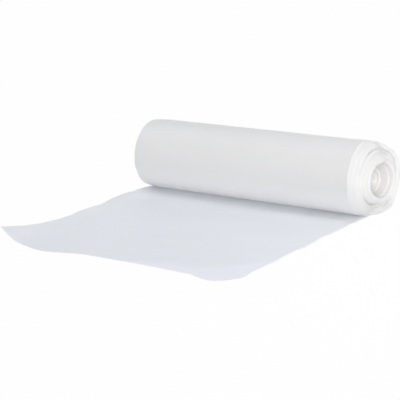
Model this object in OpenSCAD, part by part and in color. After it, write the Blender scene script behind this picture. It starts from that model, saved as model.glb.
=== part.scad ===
// A roll of white bin bags, wound from one folded web of film without a core.
// The roll lies on its side along X, and the loose end of the web runs out from
// under it along the table, towards -Y. The web is one piece from the loose end
// to the middle of the roll. The origin is on the table, below the roll's axis.
// All lengths are in millimetres and all angles in degrees.

/* [Web] */
// Width of the folded web, which is the length of the roll
web_w = 225; // [150:5:320]
// Length of the loose end, from below the roll's axis to its front edge
loose_len = 210; // [120:5:300]
// Thickness of the loose end, with the air between its folded layers
loose_t = 0.5; // [0.3:0.1:0.8]

/* [Roll] */
// Diameter over the outermost turn
roll_d = 64; // [50:1:90]
// Thickness of one wound turn, which stands for about a dozen turns of real film
turn_t = 1.1; // [0.9:0.1:1.5]
// Height by which the roll's own weight flattens its underside
flat_h = 0.5; // [0.3:0.1:1]
// Turns in the outer band, which are wound tight
outer_turns = 5; // [3:1:7]
// Turns in the inner band, which are wound tight too
inner_turns = 5; // [3:1:6]
// Air between two turns that are wound tight
tight_gap = 0.1; // [0.1:0.05:0.2]
// Air outside the one slack turn between the two bands
slack_gap_out = 1.7; // [0.5:0.1:2.5]
// Air inside that slack turn
slack_gap_in = 2.6; // [0.5:0.1:3.5]
// Air between the inner band and the first turn of the core
core_first_gap = 1.2; // [0.5:0.1:2]
// Air between the other turns of the core
core_gap = 2.7; // [1:0.1:4]
// Radius of the eye in the middle, where the web begins
eye_r = 1; // [0.8:0.1:3]

/* [Ends] */
// How far the outermost turn's right edge draws in at the front
outer_draw_in = 3.5; // [0:0.1:6]
// How far the outer band's last turn stands out there
outer_lip_out = 4.9; // [0:0.1:10]
// How far the slack turn stands out there
slack_out = 4.5; // [0:0.1:10]
// How far the inner band's first turn stands out there
inner_base_out = 4.6; // [0:0.1:10]
// How far the inner band's last turn stands out there
inner_lip_out = 8.4; // [0:0.1:14]
// How far the core's first turn stands out there
core_first_out = 7.6; // [0:0.1:14]
// How far the rest of the core stands out there
core_out = 0.4; // [0:0.1:10]
// How much further the second turn stands out at the back, where the winding is askew
second_lean = 12.4; // [0:0.1:16]
// How much further the outer band's last turn stands out there
outer_lip_lean = 7.2; // [0:0.1:12]
// How much further the inner band's last turn stands out there
inner_lip_lean = 6.4; // [0:0.1:12]
// How much further the core stands out there
core_lean = 4; // [0:0.1:10]
// Place of the furthest edges, from below the axis up the back
lean_at = 65; // [40:1:120]
// How far the unsupported left edge of the turns sinks towards the axis
droop = 0.9; // [0:0.1:1.5]
// Width of the strip that sinks there
droop_w = 8; // [4:1:15]

/* [Loose end] */
// Height of the curled tip at the front left corner
curl_h = 11; // [0:0.5:20]
// Width of the curl, in from the left edge
curl_w = 21; // [10:1:40]
// Length of the curl, back from the front edge
curl_len = 68; // [30:1:100]
// Height of the left edge's slight lift beside the roll
lift_h = 2.6; // [0:0.1:5]
// Length of that lift, out from below the roll's axis
lift_len = 85; // [40:1:110]
// Width of that lift
lift_w = 26; // [10:1:40]
// Radius of the round front right corner
corner_r = 14; // [5:1:25]
// How far the front edge bulges near its left corner
left_bulge = 10; // [0:0.5:15]
// Place of that bulge, in from the left edge
left_bulge_at = 50; // [40:1:80]
// Half width of that bulge
left_bulge_w = 42; // [25:1:50]
// How far the front edge bulges near its right corner
right_bulge = 6; // [0:0.5:12]
// Place of that bulge, in from the right edge
right_bulge_at = 18; // [14:1:40]
// Half width of that bulge
right_bulge_w = 22; // [12:1:35]
// Sideways wave of the two cut edges
edge_wave = 0.8; // [0:0.1:2]
// Length of one such wave
edge_wave_len = 47; // [30:1:80]

/* [Fineness] */
// Flats in one turn
turn_flats = 36; // [24:4:40]
// Columns of faces across the loose end
columns = 24; // [12:2:30]
// Rows of faces along the loose end
rows = 20; // [10:1:26]

/* [Hidden] */
roll_r = roll_d / 2;
axis_z = roll_r - flat_h;
flat_angle = 360 / turn_flats;
// Share of the first turn over which the web grows from loose to wound thickness
grow_share = 0.25;
// Angle past which the first turn climbs onto the web that runs out below it
climb_from = 270;
// Share of the first turn over which it leaves the loose end's line
settle_share = 0.12;
// Last share of each turn, over which its edges step out to the next turn's place
step_share = 0.3;
// Angles between which the left edge's droop sets in
droop_from = 30;
droop_full = 140;
// Powers that shape the curl across and along the web
curl_bend_x = 1.75;
curl_bend_y = 1.6;
web_color = [0.9, 0.91, 0.93];
slack_turn = outer_turns;
inner_first = slack_turn + 1;
inner_last = inner_first + inner_turns - 1;
core_first = inner_last + 1;

// Air outside each turn, by the number of turns from the loose end
GAPS = [
    [slack_turn - 1, tight_gap],
    [slack_turn, slack_gap_out],
    [inner_first, slack_gap_in],
    [inner_first + 1, tight_gap],
    [inner_last, tight_gap],
    [core_first, core_first_gap],
    [core_first + 1, core_gap]
];

// How far each turn stands out to the right at the front, by the same number
OUTS = [
    [0, -outer_draw_in],
    [slack_turn - 1, outer_lip_out],
    [slack_turn, slack_out],
    [inner_first, inner_base_out],
    [inner_last, inner_lip_out],
    [core_first, core_first_out],
    [core_first + 1, core_out]
];

// How much further it stands out at the back
LEANS = [
    [0, outer_draw_in],
    [1, second_lean],
    [slack_turn - 1, outer_lip_lean],
    [inner_last, inner_lip_lean],
    [core_first + 1, core_lean]
];

function clamp01(v) = max(0, min(1, v));
function smooth(v) = let(c = clamp01(v)) c * c * (3 - 2 * c);

// The wound web, at station i, counted from below the axis and up the back
function turns_at(i) = i / turn_flats;
function wound_t(i) = loose_t + (turn_t - loose_t) * smooth(turns_at(i) / grow_share);
function gap_at(i) = lookup(turns_at(i), GAPS);
function climb(angle) = (loose_t + tight_gap) * smooth((angle - climb_from) / (360 - climb_from));
function outer_r(i) = i < turn_flats
    ? roll_r - climb(i * flat_angle)
    : outer_r(i - turn_flats) - wound_t(i - turn_flats) - gap_at(i);
function inner_r(i) = outer_r(i) - wound_t(i);
function last_station(i = turn_flats) = inner_r(i + 1) < eye_r ? i : last_station(i + 1);

// The flat underside takes the same share off every turn
function flatten(angle) = cos(angle) > 0 ? min(1, axis_z / roll_r / cos(angle)) : 1;
function stepped(u) = floor(u) + clamp01((u - floor(u) - 1 + step_share) / step_share);
function stand_out(i) =
    let(turn = stepped(turns_at(i)))
    let(back_share = (1 + cos(i * flat_angle - lean_at)) / 2)
    clamp01(turns_at(i) / settle_share) * (lookup(turn, OUTS) + back_share * lookup(turn, LEANS));
function droop_at(i) = droop * smooth((i * flat_angle - droop_from) / (droop_full - droop_from));

// A point of station i, at a place along the roll and a radius
function wound_point(i, x, r) =
    let(angle = i * flat_angle)
    let(flat_r = r * flatten(angle))
    [x, flat_r * sin(angle), axis_z - flat_r * cos(angle)];

// Six points round the web's section: its outer face, then its inner face.
// No turn's left edge reaches past the loose end's.
function section(i) =
    let(right = web_w / 2 + stand_out(i))
    let(left = -web_w / 2 + max(0, stand_out(i)))
    [
        wound_point(i, left, outer_r(i) - droop_at(i)),
        wound_point(i, left + droop_w, outer_r(i)),
        wound_point(i, right, outer_r(i)),
        wound_point(i, right, inner_r(i)),
        wound_point(i, left + droop_w, inner_r(i)),
        wound_point(i, left, inner_r(i) - droop_at(i))
    ];

// The loose end, by shares across from the left edge and out from the roll
function bump(at, w, x) = let(c = clamp01(1 - abs(x - at) / w)) smooth(c);
function front_at(x) = loose_len
    + left_bulge * bump(-web_w / 2 + left_bulge_at, left_bulge_w, x)
    + right_bulge * bump(web_w / 2 - right_bulge_at, right_bulge_w, x)
    - corner_r * (1 - sqrt(1 - pow(clamp01((x - web_w / 2 + corner_r) / corner_r), 2)));
function wave_at(out) = edge_wave * sin(360 * out / edge_wave_len);
function curl_at(x, out) = curl_h
    * pow(clamp01((curl_w - web_w / 2 - x) / curl_w), curl_bend_x)
    * pow(clamp01((out - loose_len + curl_len) / curl_len), curl_bend_y);
function lift_at(x, out) = lift_h
    * sin(180 * clamp01(out / lift_len))
    * smooth((lift_w - web_w / 2 - x) / lift_w);
function loose_point(across, along, t) =
    let(x = web_w * (across - 0.5))
    let(out = along * front_at(x))
    [x + wave_at(out) * (2 * across - 1), -out, curl_at(x, out) + lift_at(x, out) + t];
function column_share(j) = (1 - cos(180 * j / columns)) / 2;

// One closed skin round the loose end and the wound web, from its edge to the eye
module bag_roll() {
    stations = last_station();
    per_row = columns + 1;
    per_face = per_row * (rows + 1);
    bottom = [for (k = [0:rows], j = [0:columns]) loose_point(column_share(j), k / rows, 0)];
    top = [for (k = [0:rows], j = [0:columns]) loose_point(column_share(j), k / rows, loose_t)];
    wound = [for (i = [1:stations]) each section(i)];

    function b(k, j) = k * per_row + j;
    function t(k, j) = per_face + b(k, j);
    function w(i, c) = 2 * per_face + (i - 1) * 6 + c % 6;
    function quad(p, q, r, s) = [[p, q, r], [p, r, s]];

    loose_faces = [for (k = [0:rows - 1], j = [0:columns - 1])
        each concat(
            quad(b(k, j), b(k + 1, j), b(k + 1, j + 1), b(k, j + 1)),
            quad(t(k, j), t(k, j + 1), t(k + 1, j + 1), t(k + 1, j)))];
    cut_edges = [for (k = [0:rows - 1])
        each concat(
            quad(b(k, columns), b(k + 1, columns), t(k + 1, columns), t(k, columns)),
            quad(b(k, 0), t(k, 0), t(k + 1, 0), b(k + 1, 0)))];
    front_edge = [for (j = [0:columns - 1])
        each quad(b(rows, j), t(rows, j), t(rows, j + 1), b(rows, j + 1))];
    join_faces = [
        [w(1, 1), w(1, 0), for (j = [0:columns]) b(0, j), w(1, 2)],
        [w(1, 4), w(1, 3), for (j = [columns:-1:0]) t(0, j), w(1, 5)],
        [b(0, columns), t(0, columns), w(1, 3), w(1, 2)],
        [b(0, 0), w(1, 0), w(1, 5), t(0, 0)]];
    wound_faces = [for (i = [1:stations - 1], c = [0:5])
        each quad(w(i, c), w(i, c + 1), w(i + 1, c + 1), w(i + 1, c))];
    inner_end = [for (c = [[0, 1, 4, 5], [1, 2, 3, 4]]) [for (p = c) w(stations, p)]];

    color(web_color)
        polyhedron(
            points = concat(bottom, top, wound),
            faces = concat(loose_faces, cut_edges, front_edge, join_faces, wound_faces, inner_end),
            convexity = 20);
}

bag_roll();
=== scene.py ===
# %% [markdown]
# # A roll of white bin bags with its loose end pulled out
# The whole object is one long tube of polyethylene film. It was blown, pressed
# flat, folded and wound up without a core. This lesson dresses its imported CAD
# model with a finely wound roll and the two leaves of film at the loose end.
# All three are made from flat grids, as the real thing is made from flat film.

# %% Load the frame
import math

import bmesh
import bpy
import numpy as np
from mathutils import Matrix, Vector


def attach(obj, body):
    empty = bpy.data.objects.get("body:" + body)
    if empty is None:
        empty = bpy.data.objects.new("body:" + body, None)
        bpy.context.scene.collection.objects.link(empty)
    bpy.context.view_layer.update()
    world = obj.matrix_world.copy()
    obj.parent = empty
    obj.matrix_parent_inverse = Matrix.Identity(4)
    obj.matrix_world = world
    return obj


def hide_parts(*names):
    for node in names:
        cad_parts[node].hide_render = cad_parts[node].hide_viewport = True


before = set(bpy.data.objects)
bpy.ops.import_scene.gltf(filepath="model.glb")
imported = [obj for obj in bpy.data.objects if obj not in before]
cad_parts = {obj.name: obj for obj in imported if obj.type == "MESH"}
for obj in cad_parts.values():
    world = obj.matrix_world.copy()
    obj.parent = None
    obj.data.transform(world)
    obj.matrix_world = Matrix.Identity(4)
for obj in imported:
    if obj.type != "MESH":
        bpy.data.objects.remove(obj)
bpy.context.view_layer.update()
MM = 0.001

# %% [markdown]
# ## The camera
# A long lens far away keeps the roll's sides almost parallel, as in a
# catalogue picture. The camera could be aimed at the roll by eye, but its place
# and its angles come from fitting the outlines of the roll and of the loose
# end, so they are set as numbers. A small roll tips the picture as the photo is
# tipped.

# %% Camera
camera_at = Vector((594.35, -930.36, 283.18)) * MM
view_azimuth = math.radians(35.21)
view_elevation = math.radians(14.36)
view_roll = math.radians(-1.59)
lens_mm = 114.65
sensor_mm = 36
view_limit = 50

to_camera = Vector((
    math.sin(view_azimuth) * math.cos(view_elevation),
    -math.cos(view_azimuth) * math.cos(view_elevation),
    math.sin(view_elevation)))
level = Vector((math.cos(view_azimuth), math.sin(view_azimuth), 0))
upward = to_camera.cross(level)
turn = Matrix.Rotation(view_roll, 3, to_camera)
right, up = turn @ level, turn @ upward
camera = bpy.data.objects.new("camera", bpy.data.cameras.new("camera"))
camera.data.sensor_width = sensor_mm
camera.data.lens = lens_mm
camera.data.clip_end = view_limit
camera.matrix_world = Matrix((
    (right.x, up.x, to_camera.x, camera_at.x),
    (right.y, up.y, to_camera.y, camera_at.y),
    (right.z, up.z, to_camera.z, camera_at.z),
    (0, 0, 0, 1)))
bpy.context.collection.objects.link(camera)
bpy.context.scene.camera = camera
print("camera looks from", [round(c, 3) for c in camera_at], "m")

# %% [markdown]
# ## The sizes that everything shares
# The web is the folded film. Real film is only about 20 thousandths of a
# millimetre thick, so one modelled turn stands for a few real ones. It is still
# three times as fine as a turn of the CAD solid, because the fine lines on the
# end of the roll are what says "wound film" from a step away. The roll's own
# weight flattens its underside by half a millimetre.

# %% Shared sizes
web_w = 225 * MM
roll_r = 32 * MM
flat_h = 0.5 * MM
axis_z = roll_r - flat_h
film_t = 0.345 * MM
turn_flats = 64
web_columns = 14
full_turn = 2 * math.pi


def smooth(v):
    """A ramp from 0 to 1 that starts and ends softly."""
    c = np.clip(v, 0, 1)
    return c * c * (3 - 2 * c)


print("roll:", round(web_w / MM), "mm long,", round(2 * roll_r / MM), "mm across")

# %% [markdown]
# ## How the turns lie
# The end of a handled roll isn't flat. Its outer turns have slid back to a
# sloping ring, the inner band stands out with a flat lip, and the slack core
# sits back in a hollow mouth. All of it leans further out at the back. Tables
# say this best, with a row for the number of the turn, counted from the loose
# end, and a value in millimetres: the air outside the turn, how far its edge
# stands out at the front, and how much further it does at the back. The two
# grooves between the bands go only part of the way round, so they have a table
# of their own.

# %% Tables of the turns
turns_wound = 45.2
air_table = np.array([
    (41, 0.055), (42, 0.7), (42.5, 0.6), (43, 3.1), (43.5, 3.6), (44, 5.7), (45, 2.7)])
out_table = np.array([
    (0, -3.5), (1, -2.2), (2, -0.9), (3, 0.3), (4, 1.4), (5, 2.4), (6, 3.2), (8, 4.1),
    (11, 4.8), (13, 4.9), (14, 4.2), (17, 4.0), (18, 4.7), (19, 4.7), (20, 2.5), (21, 3.6),
    (25, 3.2), (29, 4.6), (32, 6.0), (34, 6.7), (35, 8.2), (36, 8.6), (41, 8.6), (42, 5.0),
    (43, 0.6), (44, 0.0)])
lean_table = np.array([
    (0, 6.0), (1, 13.7), (2, 12.8), (4, 10.2), (6, 8.6), (9, 7.4), (13, 7.2), (14, 5.8),
    (22, 5.2), (24, 6.0), (29, 6.4), (41, 6.4), (42, 5.6), (43, 4.0)])
# Middle turn, half width in turns, middle and reach in degrees, depth in mm.
groove_table = ((14.6, 3.6, 150, 180, 3.4), (26.5, 3.2, 345, 100, 3.2))
print(turns_wound, "turns, with", len(groove_table), "grooves between them")

# %% [markdown]
# ## From the tables to the edge
# A turn keeps the value of its row for most of its way round and passes to the
# next row near its end, as a web does that was wound in steps. The edge also
# wanders by a few tenths of a millimetre. With numbers of waves that aren't
# whole, no two turns wander alike, and so the turns show as separate lines.

# %% Where the right edge stands
step_share = 0.3
start_share = 0.12
inner_turn = 13
lean_at = math.radians(78)
lean_reach = math.radians(100)
lean_slope = math.radians(60)
groove_sides = 3
groove_fade = 1.3
# Height in mm, waves in a turn, start in radians.
wander_waves = ((0.22, 2.3, 1), (0.14, 8.2, 0))


def read(table, turns):
    """The values that a table has at these turns, in metres."""
    return np.interp(turns, table[:, 0], table[:, 1]) * MM


def groove_depth(step, angle):
    depth = 0
    for at, half_width, angle_at, reach, deepest in groove_table:
        off = np.abs((np.degrees(angle) - angle_at + 180) % 360 - 180)
        across = np.clip(groove_sides * (1 - np.abs(step - at) / half_width), 0, 1)
        depth = depth + deepest * across * smooth(groove_fade * (1 - off / reach))
    return depth * MM


def stand_out(turns, angle):
    """How far the web's right edge stands out past the loose end's, in metres."""
    step = np.floor(turns) + np.clip((turns % 1 - 1 + step_share) / step_share, 0, 1)
    away = np.abs((angle - lean_at + math.pi) % full_turn - math.pi)
    wide = smooth((lean_reach - away) / lean_slope)
    inner = np.clip(step - inner_turn, 0, 1)
    back_share = wide + inner * ((1 + np.cos(away)) / 2 - wide)
    out = read(out_table, step) + back_share * read(lean_table, step)
    wander = sum(height * np.sin(waves * angle + start) for height, waves, start in wander_waves)
    started = np.clip(turns / start_share, 0, 1)
    return started * out + np.clip(turns - 1, 0, 1) * wander * MM - groove_depth(step, angle)


# %% [markdown]
# ## A grid that takes any shape
# A flat grid has the right connections already: one direction runs across the
# film and the other along it. So the grid operator makes the mesh, and each of
# its vertices is then moved to its place. Cut film has hard edges, so the
# borders are marked sharp. The right edge of the wound web is a fold instead,
# and that border stays soft.

# %% Grid helper
half = 0.5
right_border = 0.49
inward, outward = -1, 1


def grid_object(name, x_segments, y_segments, place, right_is_fold=False):
    """A grid whose vertices place() moves, from shares across and along to points."""
    bm = bmesh.new()
    bmesh.ops.create_grid(bm, x_segments=x_segments, y_segments=y_segments, size=half)
    shares = np.array([(v.co.x + half, v.co.y + half) for v in bm.verts])
    for edge in bm.edges:
        on_right = min(v.co.x for v in edge.verts) > right_border
        edge.smooth = not edge.is_boundary or (right_is_fold and on_right)
    for v, p in zip(bm.verts, place(shares[:, 0], shares[:, 1])):
        v.co = p
    bmesh.ops.reverse_faces(bm, faces=bm.faces)
    for face in bm.faces:
        face.smooth = True
    mesh = bpy.data.meshes.new(name)
    bm.to_mesh(mesh)
    bm.free()
    piece = bpy.data.objects.new(name, mesh)
    bpy.context.collection.objects.link(piece)
    return piece


def thicken(piece, thickness, side):
    """Gives the film its thickness, on the inner or the outer side of the grid."""
    film = piece.modifiers.new("film", "SOLIDIFY")
    film.thickness = thickness
    film.offset = side


# %% [markdown]
# ## The radii of the turns
# A formula for a spiral would do for even turns, but these have different
# amounts of air between them. So the radius of a turn follows from the turn
# outside it, less the film and the air, and no turn can cut through another. In
# the last quarter of the first turn the web draws in, so that it passes above
# the place where the loose end leaves the roll.

# %% Radii of the turns
stations = round(turns_wound * turn_flats)
climb_h = 0.6 * MM
climb_from = math.radians(270)


def wound_radii():
    turns = np.arange(stations + 1) / turn_flats
    angle = full_turn * turns
    radii = roll_r - climb_h * smooth((angle - climb_from) / (full_turn - climb_from))
    for i in range(turn_flats, stations + 1):
        radii[i] = radii[i - turn_flats] - film_t - read(air_table, turns[i])
    return radii


radii = wound_radii()
print("radius from", round(radii[0] / MM, 2), "to", round(radii[-1] / MM, 2), "mm")

# %% [markdown]
# ## Winding the web
# The roll is soft. Its left edges sink where nothing holds them, its right
# edges flare a little at the top, and its underside is flat. All of that is
# done to the places of the vertices, before the film gets its thickness. The
# columns lie closer together near the two edges, where the film bends, and the
# last one is the fold.

# %% Wind the web
droop_h = 0.9 * MM
droop_w = 8 * MM
droop_from = 0.5
droop_over = 2
flare_h = 0.5 * MM
flare_at = math.radians(190)
flare_from_x = 99 * MM
flare_w = 10 * MM
flare_from_r = 24 * MM
flare_band = 8 * MM
flare_cut = 0.2
fold_w = 1.4 * MM
tiny = 1e-6


def wound_place(across, along):
    station = np.rint(along * stations).astype(int)
    turns = station / turn_flats
    angle = full_turn * turns
    out = stand_out(turns, angle)
    column = np.rint(across * web_columns)
    spread = (1 - np.cos(math.pi * np.minimum(column / (web_columns - 1), 1))) / 2
    left = -web_w / 2 + np.maximum(0, out)
    fold = np.where(column == web_columns, fold_w, 0)
    x = left + spread * (web_w / 2 + out - fold_w - left) + fold
    sink = droop_h * smooth((angle - droop_from) / droop_over) * smooth(1 - (x - left) / droop_w)
    top_share = smooth((np.cos(angle - flare_at) - flare_cut) / (1 - flare_cut))
    outer_share = smooth((radii[station] - flare_from_r) / flare_band)
    flare = flare_h * smooth((x - flare_from_x) / flare_w) * top_share * outer_share
    downward = np.cos(angle)
    pressed = np.minimum(1, axis_z / roll_r / np.maximum(downward, tiny))
    r = (radii[station] - sink + flare) * np.where(downward > 0, pressed, 1)
    return np.stack([x, r * np.sin(angle), axis_z - r * downward], axis=1)


roll = grid_object("wound_web", web_columns, stations, wound_place, right_is_fold=True)
thicken(roll, film_t, inward)
print("wound web:", len(roll.data.vertices), "vertices on", turns_wound, "turns")

# %% [markdown]
# ## The outline of the loose end
# The folded web opens a little at its end, so its two leaves lie apart there.
# The front edge was torn off, which leaves lobes and a rounded corner, and the
# sides are wavy. The upper leaf draws back towards the right, so that the lower
# one shows past it as a paler lobe. Small functions of the place across the web
# describe this better than points would.

# %% Outline of the loose end
loose_len = 210 * MM
# Middle, half width and reach of each lobe.
front_lobe = (-62.5 * MM, 42 * MM, 10 * MM)
side_lobe = (94.5 * MM, 22 * MM, 6 * MM)
corner_r = 14 * MM
upper_back = 0.6 * MM
# Start, width and depth of each part that draws back.
upper_draws = ((8 * MM, 30 * MM, 13 * MM), (62 * MM, 58 * MM, 34 * MM))
# Height and length of each wave.
side_waves = ((0.8 * MM, 47 * MM), (0.35 * MM, 21 * MM))


def lobe(shape, x):
    at, half_width, reach = shape
    return reach * smooth(1 - np.abs(x - at) / half_width)


def round_corner(x):
    share = np.clip((x - web_w / 2 + corner_r) / corner_r, 0, 1)
    return corner_r * (1 - np.sqrt(1 - share ** 2))


def lower_front(x):
    return loose_len + lobe(front_lobe, x) + lobe(side_lobe, x) - round_corner(x)


def upper_front(x):
    drawn = sum(depth * smooth((x - start) / width) for start, width, depth in upper_draws)
    return lower_front(x) - lobe(side_lobe, x) - upper_back - drawn


def side_wave(out):
    return sum(height * np.sin(full_turn * out / length) for height, length in side_waves)


print("front edge reaches", round((loose_len + front_lobe[2]) / MM), "mm from the axis")

# %% [markdown]
# ## The heights of the loose end
# Film keeps a memory of its folds. It lifts along its left edge, curls up at
# the front left corner and has soft ripples between, some along the roll and
# some aslant, which fade where the roll presses on it. A cloth simulation could
# do this too, but three formulas give the same result each time.

# %% Heights of the loose end
curl_h, curl_x, curl_w = 10.4 * MM, -91.5 * MM, 21 * MM
curl_from, curl_len = 142 * MM, 68 * MM
curl_bend_x, curl_bend_out = 1.75, 1.6
lift_h, lift_x, lift_w, lift_len = 2.4 * MM, -86.5 * MM, 26 * MM, 85 * MM
ripple_base = 0.28 * MM
ripple_h, ripple_len = 0.05 * MM, 34 * MM
sway, sway_len = 1.2, 190 * MM
aslant_h, aslant_len, aslant_turn, aslant_start = 0.16 * MM, 74 * MM, 0.8, 0.7
ripple_from, ripple_fade = 32 * MM, 30 * MM


def curl(x, out):
    across = np.clip((curl_x - x) / curl_w, 0, 1)
    along = np.clip((out - curl_from) / curl_len, 0, 1)
    return curl_h * across ** curl_bend_x * along ** curl_bend_out


def lift(x, out):
    near_edge = smooth((lift_x - x) / lift_w)
    return lift_h * np.sin(math.pi * np.clip(out / lift_len, 0, 1)) * near_edge


def ripple(x, out):
    swayed = out / ripple_len * full_turn + sway * np.sin(full_turn * x / sway_len)
    aslant = full_turn * (aslant_turn * x + out) / aslant_len + aslant_start
    height = ripple_base + ripple_h * np.sin(swayed) + aslant_h * np.sin(aslant)
    return height * smooth((out - ripple_from) / ripple_fade)


# %% [markdown]
# ## The two leaves
# Both leaves follow the same heights, so the upper one stays clear of the lower
# one all over. It is a little narrower, because its side folds have slipped in.

# %% Make the two leaves
leaf_t = 0.08 * MM
leaf_gap = 0.1 * MM
upper_inset = 0.5 * MM
leaf_columns = 110
leaf_rows = 100


def leaf_place(front, inset, base):
    def place(across, along):
        x = (web_w - 2 * inset) * (across - 0.5)
        out = along * front(x)
        height = base + curl(x, out) + lift(x, out) + ripple(x, out)
        return np.stack([x + side_wave(out) * (2 * across - 1), -out, height], axis=1)
    return place


lower = grid_object("lower_leaf", leaf_columns, leaf_rows, leaf_place(lower_front, 0, 0))
upper = grid_object(
    "upper_leaf", leaf_columns, leaf_rows,
    leaf_place(upper_front, upper_inset, leaf_t + leaf_gap))
for leaf in (lower, upper):
    thicken(leaf, leaf_t, outward)
    print(leaf.name, "reaches", [round(c / MM, 1) for c in leaf.dimensions], "mm")

# %% [markdown]
# ## Material helpers
# Colours are written as people read them, in sRGB, and one function turns them
# into the linear values that light adds up in. Another adds a node, sets its
# properties and joins its inputs, so that a material reads as a short list.

# %% Helpers for materials
def linear(hex_colour):
    channels = [int(hex_colour[i:i + 2], 16) / 255 for i in (1, 3, 5)]
    return [c / 12.92 if c <= 0.04045 else ((c + 0.055) / 1.055) ** 2.4 for c in channels] + [1]


def add_node(tree, kind, settings=None, **links):
    """Adds a node. An input is given by name, or as i and its number."""
    node = tree.nodes.new(kind)
    for key, value in (settings or {}).items():
        setattr(node, key, value)
    for key, value in links.items():
        by_number = key[0] == "i" and key[1:].isdigit()
        socket = node.inputs[int(key[1:]) if by_number else key.replace("_", " ")]
        if isinstance(value, bpy.types.NodeSocket):
            tree.links.new(value, socket)
        else:
            socket.default_value = value
    return node


def new_material(name):
    material = bpy.data.materials.new(name)
    material.use_nodes = True
    material.node_tree.nodes.clear()
    return material, material.node_tree


# %% [markdown]
# ## The film
# The film is blown low density polyethylene with white pigment, and its skin is
# satin. Some light passes through it. White pigment sends back a little more
# blue than it lets through, so the light inside the roll turns warm, and the
# mouth and the grooves look creamy. A wound stack is almost opaque, and a single
# leaf lets half of the light through. The creases are too shallow to model, so
# noise stretched along them drives a bump: fine lines along the roll, and on
# the loose end broad ones that run aslant, with their real widths in
# millimetres.

# %% Film materials
film_ior = 1.51
cloud_scale, cloud_detail = 26.0, 3.0
crease_detail = 4.0
crease_stretch = 7
wound_crease_w, wound_crease_h = 6 * MM, 0.05 * MM
leaf_crease_w, leaf_crease_h = 24 * MM, 1.1 * MM
leaf_slant = math.radians(25)


def film_material(name, colour, dark, passed, roughness, through, crease_w, crease_h, slant):
    """White film. dark is its lowest tone, and passed colours the light through it."""
    material, tree = new_material(name)
    place = add_node(tree, "ShaderNodeTexCoord").outputs["Object"]
    cloud = add_node(
        tree, "ShaderNodeTexNoise", Vector=place, Scale=cloud_scale, Detail=cloud_detail)
    tone = add_node(
        tree, "ShaderNodeMix", {"data_type": "RGBA"},
        i0=cloud.outputs[0], i6=linear(dark), i7=linear(colour))
    stretch = add_node(
        tree, "ShaderNodeMapping", {"vector_type": "TEXTURE"}, Vector=place,
        Rotation=(0, 0, slant), Scale=(crease_stretch * crease_w, crease_w, crease_w))
    crease = add_node(
        tree, "ShaderNodeTexNoise", Vector=stretch.outputs[0], Scale=1.0, Detail=crease_detail)
    relief = add_node(
        tree, "ShaderNodeBump", Height=crease.outputs[0], Strength=1.0, Distance=crease_h)
    face = add_node(
        tree, "ShaderNodeBsdfPrincipled", Base_Color=tone.outputs[2], Roughness=roughness,
        IOR=film_ior, Normal=relief.outputs[0])
    glow = add_node(tree, "ShaderNodeBsdfTranslucent", Color=linear(passed))
    both = add_node(
        tree, "ShaderNodeMixShader", Fac=through, i1=face.outputs[0], i2=glow.outputs[0])
    add_node(tree, "ShaderNodeOutputMaterial", Surface=both.outputs[0])
    print(name, "lets", round(100 * through), "% of the light through")
    return material


roll.data.materials.append(film_material(
    "white_film_wound", "#FBFBFC", "#FAFAFB", "#FDFAF4", 0.42, 0.16,
    wound_crease_w, wound_crease_h, 0))
upper.data.materials.append(film_material(
    "white_film_loose", "#FAFBFC", "#F9FAFC", "#FAFBFC", 0.38, 0.3,
    leaf_crease_w, leaf_crease_h, leaf_slant))
lower.data.materials.append(film_material(
    "white_film_single_leaf", "#F6F7FA", "#F4F5F8", "#F5F6FA", 0.38, 0.5,
    leaf_crease_w, leaf_crease_h, leaf_slant))

# %% [markdown]
# ## Putting the pieces on the frame
# All three pieces stand for the one CAD node and ride on its body, and the CAD part itself is
# hidden.

for piece in (roll, lower, upper):
    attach(piece, "root")
    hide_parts("bag_roll")
print("each leaf is made from film that is", round(web_w / MM), "mm wide")

# %% [markdown]
# ## The table
# The ground of the picture is an even white with hardly a trace of shadow. More
# light would do that, but it would wash out the film, so the table's material
# does it: the camera sees mostly its own plain white, and the object is lit
# mostly by an ordinary matt surface that takes shadows.

# %% Floor
floor_half = 12
table_glow = 0.18
seen_glow = 0.8


def seen_directly(tree):
    """1 for rays from the camera, from a gloss or through film, and 0 for others."""
    path = add_node(tree, "ShaderNodeLightPath")
    seen = path.outputs["Is Camera Ray"]
    for ray in ("Is Glossy Ray", "Is Transmission Ray"):
        seen = add_node(
            tree, "ShaderNodeMath", {"operation": "MAXIMUM"},
            i0=seen, i1=path.outputs[ray]).outputs[0]
    return seen


bm = bmesh.new()
bmesh.ops.create_grid(bm, x_segments=1, y_segments=1, size=floor_half)
floor_mesh = bpy.data.meshes.new("floor")
bm.to_mesh(floor_mesh)
bm.free()
floor = bpy.data.objects.new("floor", floor_mesh)
bpy.context.collection.objects.link(floor)
white_table, tree = new_material("white_table")
share = add_node(
    tree, "ShaderNodeMath", {"operation": "MULTIPLY_ADD"},
    i0=seen_directly(tree), i1=seen_glow, i2=table_glow)
matt = add_node(tree, "ShaderNodeBsdfDiffuse", Color=linear("#F4F4F4"))
bright = add_node(tree, "ShaderNodeEmission", Strength=1.0)
table_mix = add_node(
    tree, "ShaderNodeMixShader", Fac=share.outputs[0], i1=matt.outputs[0], i2=bright.outputs[0])
add_node(tree, "ShaderNodeOutputMaterial", Surface=table_mix.outputs[0])
floor.data.materials.append(white_table)
print("table:", 2 * floor_half, "m wide")

# %% [markdown]
# ## The lamps
# White film on a white table is lit softly from all round, with a little cool
# light from above and warm light from a low lamp in front, which reaches under
# the roll. One near lamp, high on the right, makes the end of the roll the
# brightest part. Levels are given as the brightness of a white surface that
# faces the lamp. So they can be added up for each side of the roll, and the
# film stays just below white.

# %% Lamps
white = (1, 1, 1)
cool = (0.95, 0.98, 1.015)
warm = (1.01, 1, 0.97)
cream = (1, 0.975, 0.955)


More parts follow.
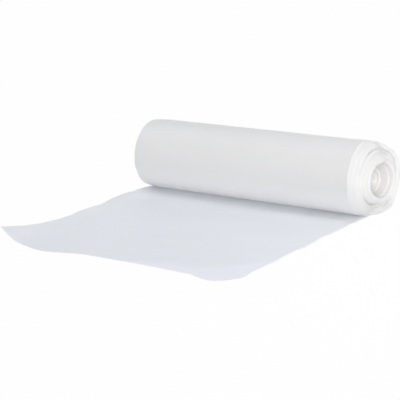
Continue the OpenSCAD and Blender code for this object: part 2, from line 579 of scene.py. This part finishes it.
def add_lamp(name, kind, towards, colour):
    lamp = bpy.data.objects.new(name, bpy.data.lights.new(name, kind))
    lamp.data.color = colour
    lamp.rotation_euler = towards.to_track_quat("Z", "Y").to_euler()
    bpy.context.collection.objects.link(lamp)
    return lamp


def soft_sun(name, azimuth, elevation, level, spread, colour):
    """A far lamp. Its angles are in degrees."""
    a, e = math.radians(azimuth), math.radians(elevation)
    towards = Vector((math.sin(a) * math.cos(e), -math.cos(a) * math.cos(e), math.sin(e)))
    lamp = add_lamp(name, "SUN", towards, colour)
    lamp.data.angle = math.radians(spread)
    lamp.data.energy = level * math.pi


def soft_box(name, place, target, size, level, colour):
    """A near lamp. Its places and its size are in metres."""
    way = Vector(place) - Vector(target)
    lamp = add_lamp(name, "AREA", way, colour)
    lamp.data.shape = "SQUARE"
    lamp.data.size = size
    lamp.data.energy = level * math.pi ** 2 * way.length_squared
    lamp.location = place


soft_sun("low_front", 30, 3, 0.39, 10, warm)
soft_sun("right_front", 55, 40, 0.06, 30, white)
soft_sun("top", 0, 85, 0.24, 30, cool)
soft_sun("left", -90, 40, 0.15, 30, cool)
soft_sun("back", 165, 45, 0.12, 30, cool)
soft_box("end", (0.45, -0.04, 0.17), (0.115, 0, 0.03), 0.2, 0.4, cream)
print(len(bpy.data.lights), "lamps")

# %% [markdown]
# ## The world and the view
# The world is a dim, slightly cool studio that fills the shadows, and it is
# plain white where the camera or a gloss sees it. Light in wound white film is
# sent on many times before it comes out, so the number of bounces is raised, or
# the end of the roll would look grey.

# %% World and view
dim_studio = (0.154, 0.158, 0.163, 1)
film_bounces = 24
all_bounces = 32

world = bpy.data.worlds.new("studio")
world.use_nodes = True
tree = world.node_tree
tree.nodes.clear()
tint = add_node(
    tree, "ShaderNodeMix", {"data_type": "RGBA"},
    i0=seen_directly(tree), i6=dim_studio, i7=(1, 1, 1, 1))
sky = add_node(tree, "ShaderNodeBackground", Color=tint.outputs[2], Strength=1.0)
add_node(tree, "ShaderNodeOutputWorld", Surface=sky.outputs[0])

scene = bpy.context.scene
scene.world = world
scene.view_settings.view_transform = "Standard"
scene.cycles.max_bounces = all_bounces
scene.cycles.diffuse_bounces = film_bounces
print("light in the film is followed for", film_bounces, "bounces")
